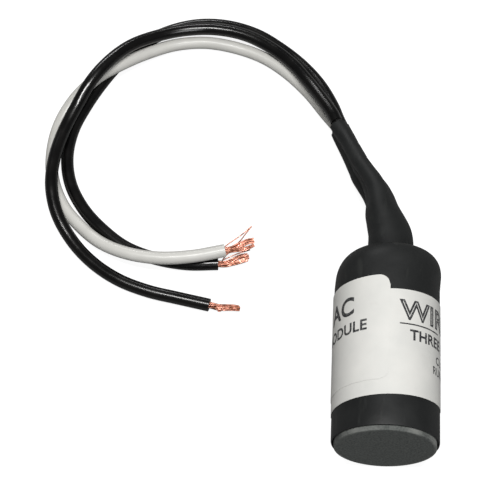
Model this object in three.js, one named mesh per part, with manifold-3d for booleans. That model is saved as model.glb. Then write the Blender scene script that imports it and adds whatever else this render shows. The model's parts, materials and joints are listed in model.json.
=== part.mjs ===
// Three-lead surge arrestor: varistors potted in a can, a shrink sleeve over it, and three flying leads.
// Millimetres, +Z up. The body lies on its side with its axis along +Y: its closed base faces -Y, its leads
// leave at +Y. Before the last move, y = 0 is the outer face of the base and z = 0 the surface it lies on.
import * as THREE from 'three';
import { mergeVertices } from 'three/addons/utils/BufferGeometryUtils.js';
import Module from 'manifold-3d';

const wasm = await Module();
wasm.setup();

// ---------- driving dimensions ----------
const fitGap = 0.3; // clearance between pieces that touch

// varistors: coated discs on the body's axis, one behind the other
const varistorRadius = 10.75;
const varistorThickness = 4.6;
const varistorEdge = 1.2; // rounding of the coating
const varistorLeadRadius = 0.5;
const varistorLeadOffset = 1.5; // from the disc's rim to the middle of a lead that runs past it
const varistorLeadSpread = 28; // degrees either side of the disc's own direction
const separatorThickness = 0.8;
const stackStart = 6;
const stackToSplice = 5.5;

// can, potting and base
const pottingCover = 0.95; // potting outside the varistor leads
const canWall = 1.2;
const canNeckRadius = 5.8; // hole that the leads pass through
const canTopDrop = 1.2; // can's end below the end of the shoulder
const fillDrop = 7.5; // potting's surface below the end of the shoulder
const baseThickness = 2.4;
const baseSpigot = 1.6; // step of the base disc inside the can
const baseEdge = 0.4;

// shrink sleeve
const sleeveWall = 0.5;
const baseStand = 1.3; // base disc past the sleeve's cut end
const shoulderRise = 10.3; // size of the shoulder's round along the axis
const neckRadius = 7.1;
const creaseDepth = 0.6; // how far the round would run in under the neck
const neckShift = 0.9; // neck's middle from the body's axis, where it meets the shoulder

// label: one strip wound a little askew, so that its free end lies over its start and beside it
const labelThickness = 0.2;
const labelGap = 0.1;
const labelHeight = 33.5;
const labelOverlap = 30;
const labelCorner = 3.5;
const labelBottom = 10.75; // lower edge on the top line of the body, in the under layer
const labelRise = 4.7; // how much higher the strip lies after one turn
const labelRamp = 0.35; // radians over which the second layer climbs onto the first

// leads and their stripped ends
const leadDiameter = 4.1;
const conductorDiameter = 1.9;
const strayDiameter = 0.4;
const leadGap = 0.2; // between the leads inside the neck, and between them and the sleeve
const leadStart = 2; // how deep inside the sleeve's mouth a free lead begins
const mouthRun = 1.5; // how far past the mouth the leads stay side by side
const mouthLift = 0.25; // sleeve's mouth above the surface that the part lies on
const leadSides = 10;
const leadSteps = 26;

// splices, crimps and thermal cutoffs
const junctionRadius = 7.5; // distance of these from the body's axis
const spliceOuter = 2;
const spliceBore = 1.55;
const spliceLength = 3.6;
const cutoffRadius = 2;
const cutoffLength = 8.5;
const cutoffEdge = 0.3;
const cutoffLeadRadius = 0.4;
const crimpOuter = 2.3;
const crimpBore = 1.55;
const crimpLength = 6;
const wireGrip = 1.6; // length of a wire's end inside a splice
const crimpGrip = 2.6; // length of a wire's end inside a crimp
const wireEndPitch = 1.4; // two wire ends side by side in one bore
const junctionGap = 1.6; // open length between a splice or crimp and a cutoff
const rootRun = 13.6; // from the crimps' ends to the end of the shoulder

const roundSides = 32; // facets around the body
const smallSides = 6; // facets around a thin wire

// ---------- sizes that follow ----------
const varistorLeadRun = varistorRadius + varistorLeadOffset;
const pottingRadius = varistorLeadRun + varistorLeadRadius + pottingCover;
const canRadius = pottingRadius + fitGap + canWall;
const bodyRadius = canRadius + fitGap + sleeveWall;
const labelRadius = bodyRadius + labelGap;
const axisHeight = labelRadius + labelThickness;
const slotPitch = varistorThickness + separatorThickness + 2 * fitGap;
const varistorCount = 3;
const stackEnd = stackStart + (varistorCount - 1) * slotPitch + varistorThickness;
const spliceStart = stackEnd + stackToSplice;
const cutoffStart = spliceStart + spliceLength + junctionGap;
const crimpStart = cutoffStart + cutoffLength + junctionGap;
const bodyLength = crimpStart + crimpLength + rootRun; // base face to the end of the shoulder
const shoulderStart = bodyLength - shoulderRise;
const shoulderRun = bodyRadius - neckRadius + creaseDepth;
const leadPitch = leadDiameter + leadGap;
const leadCover = leadDiameter / 2 + leadGap + sleeveWall; // from a lead's middle to the sleeve's outside
const mouthHalfHeight = leadPitch + leadCover;
const mouthHeight = mouthHalfHeight + mouthLift;

// Where each lead's inner end sits around the axis, in degrees from +X towards +Z.
const leadAngles = { line1: 0, line2: 120, neutral: 240 };

// Points of each free lead past the sleeve: x, y from the end of the shoulder, z from the surface.
const leadRoutes = {
  line1: [
    [-18, 59.5, 6.2], [-22.5, 68.5, 4.6], [-28.5, 76.5, 3.1], [-35.5, 83, 2.3], [-44, 88.5, 2.2],
    [-54, 91.5, 2.2], [-64, 91.5, 2.2], [-73.5, 88.5, 2.2], [-82, 83, 2.2], [-89, 75.5, 2.2],
    [-94.5, 67, 2.2], [-99, 58, 2.2], [-102.5, 48.5, 2.2], [-103.5, 38.5, 2.2], [-101.5, 28.5, 2.2],
    [-96.5, 19.5, 2.2], [-90, 12.5, 2.2], [-82, 6.5, 2.2], [-72.5, 3, 2.2], [-62.5, 1.5, 2.2],
    [-52.5, 2, 2.2],
  ],
  line2: [
    [-20.8, 58.5, 9.9], [-26, 67, 7.8], [-32, 75, 6.6], [-39.5, 81.5, 5.9], [-48, 86, 5.6],
    [-58, 88, 5.3], [-68, 87, 5.6], [-77, 83.5, 6.9], [-85, 78, 9.2], [-91.5, 70.5, 11.2],
    [-97, 62.5, 10.9], [-101.5, 54, 8.2], [-105, 45, 6.9], [-107, 35, 6.9], [-107, 25, 6.9],
    [-104.5, 16, 5.1], [-99, 7.5, 3], [-92, 0.5, 2.3], [-83.5, -5, 2.2], [-74, -8.5, 2.2],
    [-64.5, -10.5, 2.2], [-54.5, -12.5, 2.2],
  ],
  neutral: [
    [-20, 58.5, 2.3], [-26, 66.5, 2.2], [-33.5, 74, 2.2], [-41.5, 79.5, 2.2], [-51, 83, 2.2],
    [-61, 84.5, 2.2], [-71, 83, 2.5], [-80, 78.5, 3.8], [-88, 72.5, 5.9], [-95.5, 66.5, 6.7],
    [-102.5, 59, 5], [-107, 50.5, 2.8], [-108.5, 40.5, 2.2], [-107.5, 30.5, 2.2], [-103.5, 21, 2.2],
    [-97, 13, 2.8], [-89.5, 6.5, 4.3], [-80.5, 2.5, 5.8], [-70.5, 1, 6.7], [-60.5, 2, 6.8],
    [-50.5, 4.5, 6.7],
  ],
};

// Free end of each lead's stripped strands, in the same frame, and the loose strands beside them.
const strandEnds = {
  line1: [-42.5, 4.5, 2.8],
  line2: [-44.5, -13.2, 1.7],
  neutral: [-41, 7.2, 7.1],
};
const strayRoutes = {
  neutral_stray_strand: [[-49.2, 5.9, 8.2], [-45.5, 8.8, 9.4], [-42.3, 11.6, 10.4]],
  line1_stray_strand: [[-51.2, 2.6, 3.7], [-46.5, 4.6, 4.6], [-42.6, 6, 4.9]],
};

// The neck's middle line: x, y from the end of the shoulder, share of the drop from the axis to the mouth.
const neckLine = [[neckShift, 0, 0], [0.85, 3, 0], [0.6, 8, 0.02], [-0.6, 14, 0.08], [-3.2, 22, 0.2],
  [-6.8, 30, 0.42], [-10.3, 38, 0.68], [-13.4, 46, 0.92], [-15.9, 52, 1]];

// Degrees that the column of leads leans to the left, by share of the neck's length.
const neckLean = [[0, 0], [0.3, 0], [0.5, -4], [0.65, -3], [0.8, 4], [0.92, 9], [1, 11]];
// Shares of the neck's length between which the leads open from a triangle into a column.
const openingStart = 0.1;
const openingEnd = 0.5;

// Room between the leads and the sleeve at each side of the neck, by share of the neck's length.
const neckSlack = [[0, 2.4], [0.12, 2.1], [0.2, 1.6], [0.28, 1.15], [0.38, 0.75], [0.49, 0.6], [0.6, 0.5],
  [0.7, 0.5], [0.81, 0.45], [0.94, 0.4], [1, 0.6]];

// ---------- materials ----------
function finish(color, roughness, metalness = 0) {
  return new THREE.MeshStandardMaterial({ color, roughness, metalness });
}
const sleevePlastic = finish(0x1c1d1e, 0.55);
const labelFilm = finish(0xd8d7d2, 0.5);
const baseBoard = finish(0x4a4c4d, 0.85);
const canPlastic = finish(0x2a2b2c, 0.6);
const pottingResin = finish(0x3a3632, 0.4);
const varistorCoat = finish(0x2f5fa8, 0.45);
const separatorPaper = finish(0x8c8f8a, 0.9);
const tinnedCopper = finish(0xb9bab8, 0.35, 0.9);
const bareCopper = finish(0xc4764f, 0.3, 0.9);
const crimpMetal = finish(0xc9c3b4, 0.35, 0.9);
const cutoffCase = finish(0xe3dccb, 0.5);
const blackInsulation = finish(0x101112, 0.25);
const whiteInsulation = finish(0xd9d7d0, 0.35);

// ---------- geometry helpers ----------
const vec = (x, y, z) => new THREE.Vector3(x, y, z);
const radians = THREE.MathUtils.degToRad;

// A point at an angle and distance around the body's axis.
function around(angle, distance, y) {
  return vec(distance * Math.cos(radians(angle)), y, distance * Math.sin(radians(angle)));
}

// Value at t of a list of [t, value] pairs, straight between them.
function between(pairs, t) {
  const last = pairs.findIndex(([at]) => at >= t);
  if (last <= 0) return pairs[last === 0 ? 0 : pairs.length - 1][1];
  const [[t0, v0], [t1, v1]] = [pairs[last - 1], pairs[last]];
  return THREE.MathUtils.mapLinear(t, t0, t1, v0, v1);
}

// Solid of revolution about Y; its outline runs up the outside.
function turned(outline, sides = roundSides) {
  return new THREE.LatheGeometry(outline.map(([r, y]) => new THREE.Vector2(r, y)), sides);
}

function turnedRing(outline, sides = roundSides) {
  return turned([...outline, outline[0]], sides);
}

// Round rod from y to y + length, centred on the axis, with its rims bevelled.
function rod(radius, y, length, edge = 0, sides = roundSides) {
  const top = y + length;
  const rims = edge > 0
    ? [[radius - edge, y], [radius, y + edge], [radius, top - edge], [radius - edge, top]]
    : [[radius, y], [radius, top]];
  return turned([[0, y], ...rims, [0, top]], sides);
}

function barrel(outer, bore, y, length) {
  return turnedRing([[bore, y], [outer, y], [outer, y + length], [bore, y + length]], 16);
}

// Tube of a round section along points.
function tube(points, radius, steps, sides = smallSides) {
  const corners = Array.from({ length: sides }, (_, i) => {
    const turn = (2 * Math.PI * i) / sides;
    return new THREE.Vector2(radius * Math.cos(turn), radius * Math.sin(turn));
  });
  return new THREE.ExtrudeGeometry(new THREE.Shape(corners), {
    steps,
    bevelEnabled: false,
    extrudePath: new THREE.CatmullRomCurve3(points),
  });
}

// The same path, begun a little earlier in the direction it leaves.
function begunEarlier(path, run) {
  const back = path[0].clone().sub(path[1]).setLength(run);
  return [path[0].clone().add(back), ...path];
}

function solidOf(geometry) {
  const plain = geometry.clone();
  plain.deleteAttribute('normal');
  plain.deleteAttribute('uv');
  const merged = mergeVertices(plain, 1e-3);
  return new wasm.Manifold(new wasm.Mesh({
    numProp: 3,
    vertProperties: merged.attributes.position.array,
    triVerts: new Uint32Array(merged.index.array),
  }));
}

function geometryOf(solid) {
  const { vertProperties, triVerts } = solid.getMesh();
  const geometry = new THREE.BufferGeometry();
  geometry.setAttribute('position', new THREE.BufferAttribute(vertProperties, 3));
  geometry.setIndex(new THREE.BufferAttribute(triVerts, 1));
  return geometry;
}

function cut(geometry, cutters) {
  return geometryOf(cutters.reduce((left, cutter) => left.subtract(solidOf(cutter)), solidOf(geometry)));
}

// ---------- assembly ----------
const assembly = new THREE.Group();
const body = new THREE.Group(); // pieces placed from the body's axis
body.position.z = axisHeight;
const cords = new THREE.Group(); // free leads and what is on them
assembly.add(body, cords);

function add(group, name, geometry, material) {
  const mesh = new THREE.Mesh(geometry, material);
  mesh.name = name;
  group.add(mesh);
}

// ---------- neck ----------
const neckPath = new THREE.CatmullRomCurve3(neckLine.map(([x, y, drop]) => {
  const height = THREE.MathUtils.lerp(axisHeight, mouthHeight, drop);
  return vec(x, y + bodyLength, height);
}));
const neckLength = neckPath.getLength();

// Middle of the neck at a share of its length, and the directions across and upward there, which lean over
// with the leads towards the mouth.
function neckFrame(share) {
  const middle = neckPath.getPointAt(share);
  const along = neckPath.getTangentAt(share);
  const across = vec(0, 0, 1).cross(along).negate().normalize();
  const up = across.clone().cross(along);
  const lean = radians(between(neckLean, share));
  return {
    middle,
    across: across.clone().multiplyScalar(Math.cos(lean)).addScaledVector(up, Math.sin(lean)),
    up: up.clone().multiplyScalar(Math.cos(lean)).addScaledVector(across, -Math.sin(lean)),
  };
}

// The leads leave the can as a triangle, line 1 at its right corner, and open into a column by the mouth.
const closedAngle = 30;
const openAngle = 74;
function columnAt(share) {
  const opened = THREE.MathUtils.smoothstep(share, openingStart, openingEnd);
  const opening = radians(THREE.MathUtils.lerp(closedAngle, openAngle, opened));
  return { half: (leadPitch * Math.cos(opening)) / 2, step: leadPitch * Math.sin(opening) };
}
const columnSides = { line1: [1, 0], line2: [-1, 1], neutral: [-1, -1] };
function placeInNeck(name, share) {
  const { middle, across, up } = neckFrame(share);
  const { half, step } = columnAt(share);
  const [side, level] = columnSides[name];
  return middle.addScaledVector(across, side * half).addScaledVector(up, level * step);
}

// ---------- shrink sleeve ----------
// The shoulder's round as [radius, y] points, for a skin that lies inset inside the sleeve's outside.
function shoulderArc(inset) {
  const count = 8;
  const reach = radians(86);
  return Array.from({ length: count + 1 }, (_, i) => {
    const turn = (reach * i) / count;
    return [
      bodyRadius - shoulderRun + (shoulderRun - inset) * Math.cos(turn),
      shoulderStart + (shoulderRise - inset) * Math.sin(turn),
    ];
  });
}

// One closed skin, outside and inside. Past the shoulder its rings follow the neck and change from a circle
// into an upright oval with straight flanks.
function sleeveGeometry() {
  const outside = [[bodyRadius, baseStand], ...shoulderArc(0)];
  const inside = [[bodyRadius - sleeveWall, baseStand], ...shoulderArc(sleeveWall)];
  const stations = [0.02, 0.08, 0.14, 0.2, 0.27, 0.34, 0.41, 0.48, 0.55, 0.62, 0.7, 0.78, 0.86, 0.93, 1];
  const neckOutside = stations.map((share) => [neckRadius, bodyLength + share * neckLength]);
  const neckInside = neckOutside.map(([r, y]) => [r - sleeveWall, y]);
  const geometry = turnedRing([...outside, ...neckOutside, ...neckInside.reverse(), ...inside.reverse()]);
  const position = geometry.attributes.position;
  for (let i = 0; i < position.count; i += 1) {
    const point = vec().fromBufferAttribute(position, i);
    const past = (point.y - bodyLength) / neckLength;
    if (past > 0) {
      const share = Math.min(past, 1);
      const { middle, across, up } = neckFrame(share);
      const depth = neckRadius - Math.hypot(point.x, point.z);
      const turn = Math.atan2(point.z, point.x);
      const halfWidth = columnAt(share).half + leadCover + between(neckSlack, share) - depth;
      const tall = THREE.MathUtils.smoothstep(share, 0, 0.75);
      const halfHeight = THREE.MathUtils.lerp(neckRadius, mouthHalfHeight, tall) - depth;
      const upright = Math.abs(Math.sin(turn)) < 1e-6 ? 0 : Math.sign(turn) * (halfHeight - halfWidth);
      point.copy(middle)
        .addScaledVector(across, halfWidth * Math.cos(turn))
        .addScaledVector(up, halfWidth * Math.sin(turn) + upright);
      point.z -= axisHeight;
    }
    position.setXYZ(i, point.x, point.y, point.z);
  }
  return geometry;
}
add(body, 'shrink_sleeve', sleeveGeometry(), sleevePlastic);

// ---------- label ----------
function labelGeometry() {
  const cornerColumns = 5;
  const wound = 2 * Math.PI * labelRadius + labelOverlap;
  const columns = 84;
  const geometry = new THREE.BoxGeometry(columns, labelHeight, labelThickness, columns, 1, 1);
  const position = geometry.attributes.position;
  for (let i = 0; i < position.count; i += 1) {
    const column = Math.round(position.getX(i) + columns / 2);
    const fromEnd = Math.min(column, columns - column);
    const plainPitch = (wound - 2 * labelCorner) / (columns - 2 * cornerColumns);
    const inset = fromEnd < cornerColumns
      ? labelCorner * (1 - Math.cos((Math.PI / 2) * (fromEnd / cornerColumns)))
      : labelCorner + (fromEnd - cornerColumns) * plainPitch;
    const along = column <= columns / 2 ? inset : wound - inset;
    const short = Math.max(labelCorner - inset, 0);
    const trim = labelCorner - Math.sqrt(labelCorner ** 2 - short ** 2);
    // the free end lies on the top line, one turn and the overlap after the start
    const angle = (along - labelOverlap) / labelRadius;
    const climb = THREE.MathUtils.smoothstep(angle, 2 * Math.PI - labelOverlap / labelRadius - labelRamp,
      2 * Math.PI - labelOverlap / labelRadius);
    const layer = climb * (labelThickness + labelGap);
    const radius = labelRadius + labelThickness / 2 + position.getZ(i) + layer;
    const y = Math.sign(position.getY(i)) * (labelHeight / 2 - trim) + labelBottom + labelHeight / 2
      + (labelRise * angle) / (2 * Math.PI);
    position.setXYZ(i, radius * Math.sin(angle), y, radius * Math.cos(angle));
  }
  return geometry;
}
add(body, 'wrap_label', labelGeometry(), labelFilm);

// ---------- base disc and can ----------
add(body, 'base_disc', turned([
  [0, 0], [canRadius - baseEdge, 0], [canRadius, baseEdge], [canRadius, baseThickness],
  [pottingRadius, baseThickness], [pottingRadius, baseThickness + baseSpigot],
  [0, baseThickness + baseSpigot],
]), baseBoard);

function canGeometry() {
  const start = baseThickness + fitGap;
  const outward = sleeveWall + fitGap;
  const inward = outward + canWall;
  const end = bodyLength - outward - canTopDrop;
  const below = (inset, top) => shoulderArc(inset).filter(([r, y]) => y < top && r > canNeckRadius);
  return turnedRing([
    [canRadius, start], ...below(outward, end), [canNeckRadius, end], [canNeckRadius, end - canWall],
    ...below(inward, end - canWall).reverse(), [canRadius - canWall, start],
  ]);
}
add(body, 'housing_can', canGeometry(), canPlastic);

// ---------- varistor stack ----------
// A varistor's two leads leave its rim, turn along the body and end beside a lead of another varistor.
const varistors = [
  { name: 'varistor_line1_neutral', direction: 270, ends: [['line1', 1], ['neutral', -1]] },
  { name: 'varistor_line2_neutral', direction: 150, ends: [['line2', -1], ['neutral', 1]] },
  { name: 'varistor_line1_line2', direction: 30, ends: [['line1', -1], ['line2', 1]] },
];
const hasCutoff = { line1: true, line2: true, neutral: false };
const junctionStart = (lead) => (hasCutoff[lead] ? spliceStart : crimpStart);
const junctionGrip = (lead) => (hasCutoff[lead] ? wireGrip : crimpGrip);

// Path of a varistor lead; side is +1 or -1 for the one further round or less far round.
function varistorLeadPath(varistor, slot, [lead, side]) {
  const middle = stackStart + slot * slotPitch + varistorThickness / 2;
  const rim = varistorRadius + fitGap;
  const angle = varistor.direction + side * varistorLeadSpread;
  const mouth = around(leadAngles[lead], junctionRadius, 0)
    .add(around(leadAngles[lead] + 90, (wireEndPitch / 2) * -side, 0));
  const entry = junctionStart(lead);
  const away = around(angle, varistorLeadRun, 0);
  const towards = (share, y) => away.clone().lerp(mouth, share).setY(y);
  return [
    around(angle, rim, middle),
    around(angle, rim + 0.6 * varistorLeadOffset, middle + 0.1),
    around(angle, varistorLeadRun, middle + 0.9),
    towards(0, middle + 2.2),
    towards(0, entry - 5),
    towards(0.5, entry - 2.9),
    towards(0.93, entry - 1.1),
    towards(1, entry + 0.2),
    towards(1, entry + junctionGrip(lead)),
  ];
}

const pockets = [rod(varistorRadius + fitGap, stackStart - fitGap, stackEnd - stackStart + 2 * fitGap)];
varistors.forEach((varistor, slot) => {
  const y = stackStart + slot * slotPitch;
  add(body, varistor.name, rod(varistorRadius, y, varistorThickness, varistorEdge), varistorCoat);
  if (slot > 0) {
    const under = y - fitGap - separatorThickness;
    add(body, `separator_${slot}`, rod(varistorRadius, under, separatorThickness, 0, 24), separatorPaper);
  }
  varistor.ends.forEach((end) => {
    const path = varistorLeadPath(varistor, slot, end);
    add(body, `${varistor.name}_lead_${end[0]}`, tube(path, varistorLeadRadius, 14), tinnedCopper);
    pockets.push(tube(begunEarlier(path, 2 * fitGap), varistorLeadRadius + 2 * fitGap, 16));
  });
});

// ---------- splices, thermal cutoffs and crimps ----------
function placed(geometry, lead) {
  const { x, z } = around(leadAngles[lead], junctionRadius, 0);
  return geometry.translate(x, 0, z);
}
const straight = (radius, y, length) => rod(radius, y, length, 0, smallSides);
const pocket = (radius, y, length) => rod(radius + fitGap, y - fitGap, length + 2 * fitGap, 0, 16);

Object.keys(leadAngles).forEach((lead) => {
  if (hasCutoff[lead]) {
    const splice = barrel(spliceOuter, spliceBore, spliceStart, spliceLength);
    const cutoff = rod(cutoffRadius, cutoffStart, cutoffLength, cutoffEdge, 20);
    const inSplice = spliceStart + spliceLength - wireGrip;
    const lowerLead = straight(cutoffLeadRadius, inSplice, cutoffStart - fitGap - inSplice);
    const upperStart = cutoffStart + cutoffLength + fitGap;
    const upperLead = straight(cutoffLeadRadius, upperStart, crimpStart + crimpGrip - upperStart);
    add(body, `splice_${lead}`, placed(splice, lead), crimpMetal);
    add(body, `thermal_cutoff_${lead}`, placed(cutoff, lead), cutoffCase);
    add(body, `thermal_cutoff_${lead}_lower_lead`, placed(lowerLead, lead), tinnedCopper);
    add(body, `thermal_cutoff_${lead}_upper_lead`, placed(upperLead, lead), tinnedCopper);
    pockets.push(
      placed(pocket(spliceOuter, spliceStart, spliceLength), lead),
      placed(pocket(cutoffRadius, cutoffStart, cutoffLength), lead),
      placed(straight(cutoffLeadRadius + fitGap, spliceStart, crimpStart - spliceStart), lead),
    );
  }
  const crimp = barrel(crimpOuter, crimpBore, crimpStart, crimpLength);
  add(body, `crimp_${lead}`, placed(crimp, lead), crimpMetal);
  pockets.push(placed(pocket(crimpOuter, crimpStart, crimpLength), lead));
});

// ---------- lead roots ----------
const conductorStart = crimpStart + crimpLength - crimpGrip;
const rootStart = crimpStart + crimpLength + fitGap;

const neckHole = bodyLength - canTopDrop - 2 * fitGap - sleeveWall - canWall;
const startShare = 1 - leadStart / neckLength;

function rootPath(lead) {
  const crimpMiddle = around(leadAngles[lead], junctionRadius, 0).add(vec(0, 0, axisHeight));
  const neckStart = placeInNeck(lead, 0);
  return [
    crimpMiddle.clone().setY(rootStart),
    crimpMiddle.clone().setY(rootStart + 1.2),
    crimpMiddle.clone().lerp(neckStart, 0.5).setY((rootStart + 1.2 + neckHole) / 2),
    neckStart.clone().setY(neckHole),
    neckStart,
    ...[0.12, 0.24, 0.36, 0.48, 0.6, 0.72, 0.84].map((share) => placeInNeck(lead, share)),
    placeInNeck(lead, startShare - fitGap / neckLength),
  ];
}

const roots = new THREE.Group();
assembly.add(roots);
const insulation = { line1: blackInsulation, line2: blackInsulation, neutral: whiteInsulation };
Object.keys(leadAngles).forEach((lead) => {
  const path = rootPath(lead);
  const conductor = straight(conductorDiameter / 2, conductorStart, rootStart - fitGap - conductorStart);
  add(roots, `${lead}_lead_root`, tube(path, leadDiameter / 2, 22, leadSides), insulation[lead]);
  add(body, `${lead}_root_conductor`, placed(conductor, lead), bareCopper);
  const pocketPath = begunEarlier(path, 2 * fitGap);
  pockets.push(tube(pocketPath, leadDiameter / 2 + fitGap, 22, leadSides).translate(0, 0, -axisHeight));
});

// ---------- potting ----------
const pottingStart = baseThickness + baseSpigot + fitGap;
const fillLevel = bodyLength - fillDrop;
const shoulderInset = sleeveWall + 2 * fitGap + canWall;
const pottingShoulder = shoulderArc(shoulderInset).filter(([, y]) => y < fillLevel);
const fillRise = (fillLevel - shoulderStart) / (shoulderRise - shoulderInset);
const fillRadius = bodyRadius - shoulderRun + (shoulderRun - shoulderInset) * Math.sqrt(1 - fillRise ** 2);
add(body, 'potting', cut(
  turned([[0, pottingStart], [pottingRadius, pottingStart], ...pottingShoulder, [fillRadius, fillLevel],
    [0, fillLevel]]),
  pockets,
), pottingResin);

// ---------- free leads and stripped strands ----------
const onRoute = ([x, y, z]) => vec(x, y + bodyLength, z);
Object.entries(leadRoutes).forEach(([lead, route]) => {
  const mouth = placeInNeck(lead, 1);
  const past = mouth.clone().addScaledVector(neckPath.getTangentAt(1), mouthRun);
  const points = [placeInNeck(lead, startShare), mouth, past, ...route.map(onRoute)];
  add(cords, `${lead}_lead`, tube(points, leadDiameter / 2, leadSteps, leadSides), insulation[lead]);
  const last = points.at(-1);
  const tip = onRoute(strandEnds[lead]);
  const start = last.clone().lerp(tip, (2 * fitGap) / last.distanceTo(tip));
  add(cords, `${lead}_strands`, tube([start, tip], conductorDiameter / 2, 3, 8), bareCopper);
});
Object.entries(strayRoutes).forEach(([name, route]) => {
  add(cords, name, tube(route.map(onRoute), strayDiameter / 2, 4), bareCopper);
});

// ---------- origin ----------
// The part's origin lies under the middle of everything but the free leads, on the surface it lies on.
assembly.updateMatrixWorld(true);
const standing = new THREE.Box3().expandByObject(body).expandByObject(roots);
const middle = standing.getCenter(vec());
assembly.position.set(-middle.x, -middle.y, -standing.min.z);

export default assembly;
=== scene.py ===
import json
import logging
import math
from dataclasses import dataclass, field
from enum import Enum
from random import Random
from typing import Callable, Iterable, Sequence

import bmesh
import bpy
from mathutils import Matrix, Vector

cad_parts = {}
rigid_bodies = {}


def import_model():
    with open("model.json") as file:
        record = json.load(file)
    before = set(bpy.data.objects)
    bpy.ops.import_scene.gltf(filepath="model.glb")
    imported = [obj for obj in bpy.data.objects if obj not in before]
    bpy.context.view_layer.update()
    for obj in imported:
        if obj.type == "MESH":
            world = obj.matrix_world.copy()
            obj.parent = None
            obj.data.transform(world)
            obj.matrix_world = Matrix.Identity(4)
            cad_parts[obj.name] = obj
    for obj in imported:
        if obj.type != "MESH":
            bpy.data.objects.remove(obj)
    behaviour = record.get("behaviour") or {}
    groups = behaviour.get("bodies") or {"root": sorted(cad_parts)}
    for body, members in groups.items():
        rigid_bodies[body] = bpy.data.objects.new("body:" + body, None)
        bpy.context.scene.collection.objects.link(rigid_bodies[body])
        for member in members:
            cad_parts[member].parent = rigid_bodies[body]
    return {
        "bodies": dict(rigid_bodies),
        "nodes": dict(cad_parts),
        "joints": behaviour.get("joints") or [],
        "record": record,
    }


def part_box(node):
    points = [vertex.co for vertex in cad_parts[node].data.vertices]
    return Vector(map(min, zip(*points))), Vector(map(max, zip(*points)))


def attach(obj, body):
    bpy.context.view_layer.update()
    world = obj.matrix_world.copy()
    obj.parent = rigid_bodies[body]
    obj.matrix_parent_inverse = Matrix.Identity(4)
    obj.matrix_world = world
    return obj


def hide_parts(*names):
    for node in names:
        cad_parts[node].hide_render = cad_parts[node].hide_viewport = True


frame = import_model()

MM = 0.001
LOG = logging.getLogger("surge_arrestor")

Colour = tuple[float, float, float]
Point = tuple[float, float, float]


class Side(Enum):
    """The three leads, by what they are joined to."""

    LINE1 = "line1"
    LINE2 = "line2"
    NEUTRAL = "neutral"


def grey(level: float, tint: Colour = (1.0, 1.0, 1.0)) -> Colour:
    """A grey of that level, from 0 to 1, times a tint."""
    return (level * tint[0], level * tint[1], level * tint[2])


def smoothstep(low: float, high: float, value: float) -> float:
    """Zero below low, one above high, and a smooth rise between them."""
    t = min(max((value - low) / (high - low), 0.0), 1.0)
    return t * t * (3.0 - 2.0 * t)


def blend_along(stations: Sequence[tuple[float, float]], at: float) -> float:
    """Value at a place along a list of stations, with a smooth slope through them.

    Args:
        stations: (place, value) pairs in rising order of place.
        at: The place asked for.

    Returns:
        The value there, held at the first and last stations outside them.
    """
    if at <= stations[0][0]:
        return stations[0][1]
    if at >= stations[-1][0]:
        return stations[-1][1]
    index = next(i for i in range(1, len(stations)) if stations[i][0] >= at)
    (x0, y0), (x1, y1) = stations[index - 1], stations[index]

    def slope(i: int) -> float:
        """Slope of the list at station i."""
        low, high = stations[max(i - 1, 0)], stations[min(i + 1, len(stations) - 1)]
        return (high[1] - low[1]) / (high[0] - low[0])

    run = x1 - x0
    t = (at - x0) / run
    m0, m1 = slope(index - 1) * run, slope(index) * run
    return (
        y0 * (2 * t**3 - 3 * t**2 + 1)
        + m0 * (t**3 - 2 * t**2 + t)
        + y1 * (3 * t**2 - 2 * t**3)
        + m1 * (t**3 - t**2)
    )


def smooth_path(points: Sequence[Vector], per_span: int) -> list[Vector]:
    """Points of the centripetal Catmull-Rom curve through a list of points.

    Args:
        points: The points that the curve passes through.
        per_span: How many steps it takes between two of them.

    Returns:
        The curve's points, its first and last among them.
    """
    ends = [points[0] * 2 - points[1], *points, points[-1] * 2 - points[-2]]
    curve: list[Vector] = []
    for i in range(1, len(ends) - 2):
        p0, p1, p2, p3 = ends[i - 1 : i + 3]
        d1, d2, d3 = (math.sqrt((b - a).length) for a, b in ((p0, p1), (p1, p2), (p2, p3)))
        m1 = ((p1 - p0) / d1 - (p2 - p0) / (d1 + d2) + (p2 - p1) / d2) * d2
        m2 = ((p2 - p1) / d2 - (p3 - p1) / (d2 + d3) + (p3 - p2) / d3) * d2
        for step in range(per_span):
            t = step / per_span
            curve.append(
                p1 * (2 * t**3 - 3 * t**2 + 1)
                + m1 * (t**3 - 2 * t**2 + t)
                + p2 * (3 * t**2 - 2 * t**3)
                + m2 * (t**3 - t**2)
            )
    curve.append(points[-1].copy())
    return curve


def path_length(points: Sequence[Vector]) -> float:
    """Length of a line through points."""
    return sum((b - a).length for a, b in zip(points, points[1:]))


# ---------------------------------------------------------------- the workbench


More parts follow.
